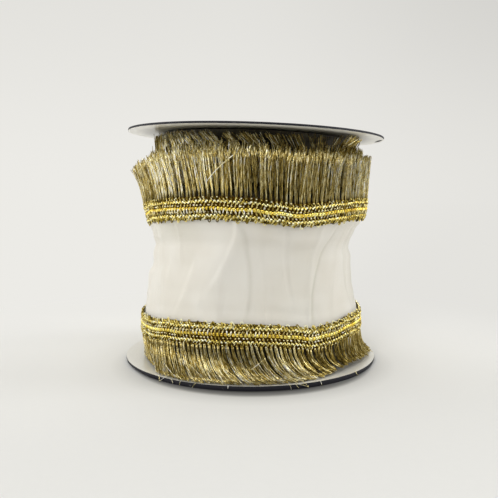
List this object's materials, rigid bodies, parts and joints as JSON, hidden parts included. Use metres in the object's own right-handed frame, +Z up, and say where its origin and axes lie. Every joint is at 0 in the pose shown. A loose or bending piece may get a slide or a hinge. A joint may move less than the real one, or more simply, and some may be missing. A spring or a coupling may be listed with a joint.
{
  "type": "ribbon fringe trim wound on a flanged spool",
  "caption": "Wide white ribbon with gold braid headings and cut metallic fringe along both edges, wound in a waisted roll on a card spool with two round flanges.",
  "frame": {"origin": "middle of the footprint, on the surface that the lower flange stands on", "axes": "+Z up along the spool, -Y towards the side that the picture shows, +X to its right"},
  "size_m": [0.1169, 0.1183, 0.1036],
  "materials": {
    "spool_card": "matte, with a near black outer face",
    "ribbon_cloth": "soft plain weave, warm white",
    "braid_gold": "metallic gold crochet braid",
    "fringe_gold": "fine cut metallic thread, muted gold"
  },
  "bodies": {
    "root": {"spool_flange_bottom": "spool_card", "spool_flange_top": "spool_card", "ribbon_roll": "ribbon_cloth", "braid_upper": "braid_gold", "braid_lower": "braid_gold", "fringe_upper": "fringe_gold", "fringe_second_turn": "fringe_gold", "fringe_inner_turns": "fringe_gold", "fringe_lower": "fringe_gold"}
  },
  "joints": []
}
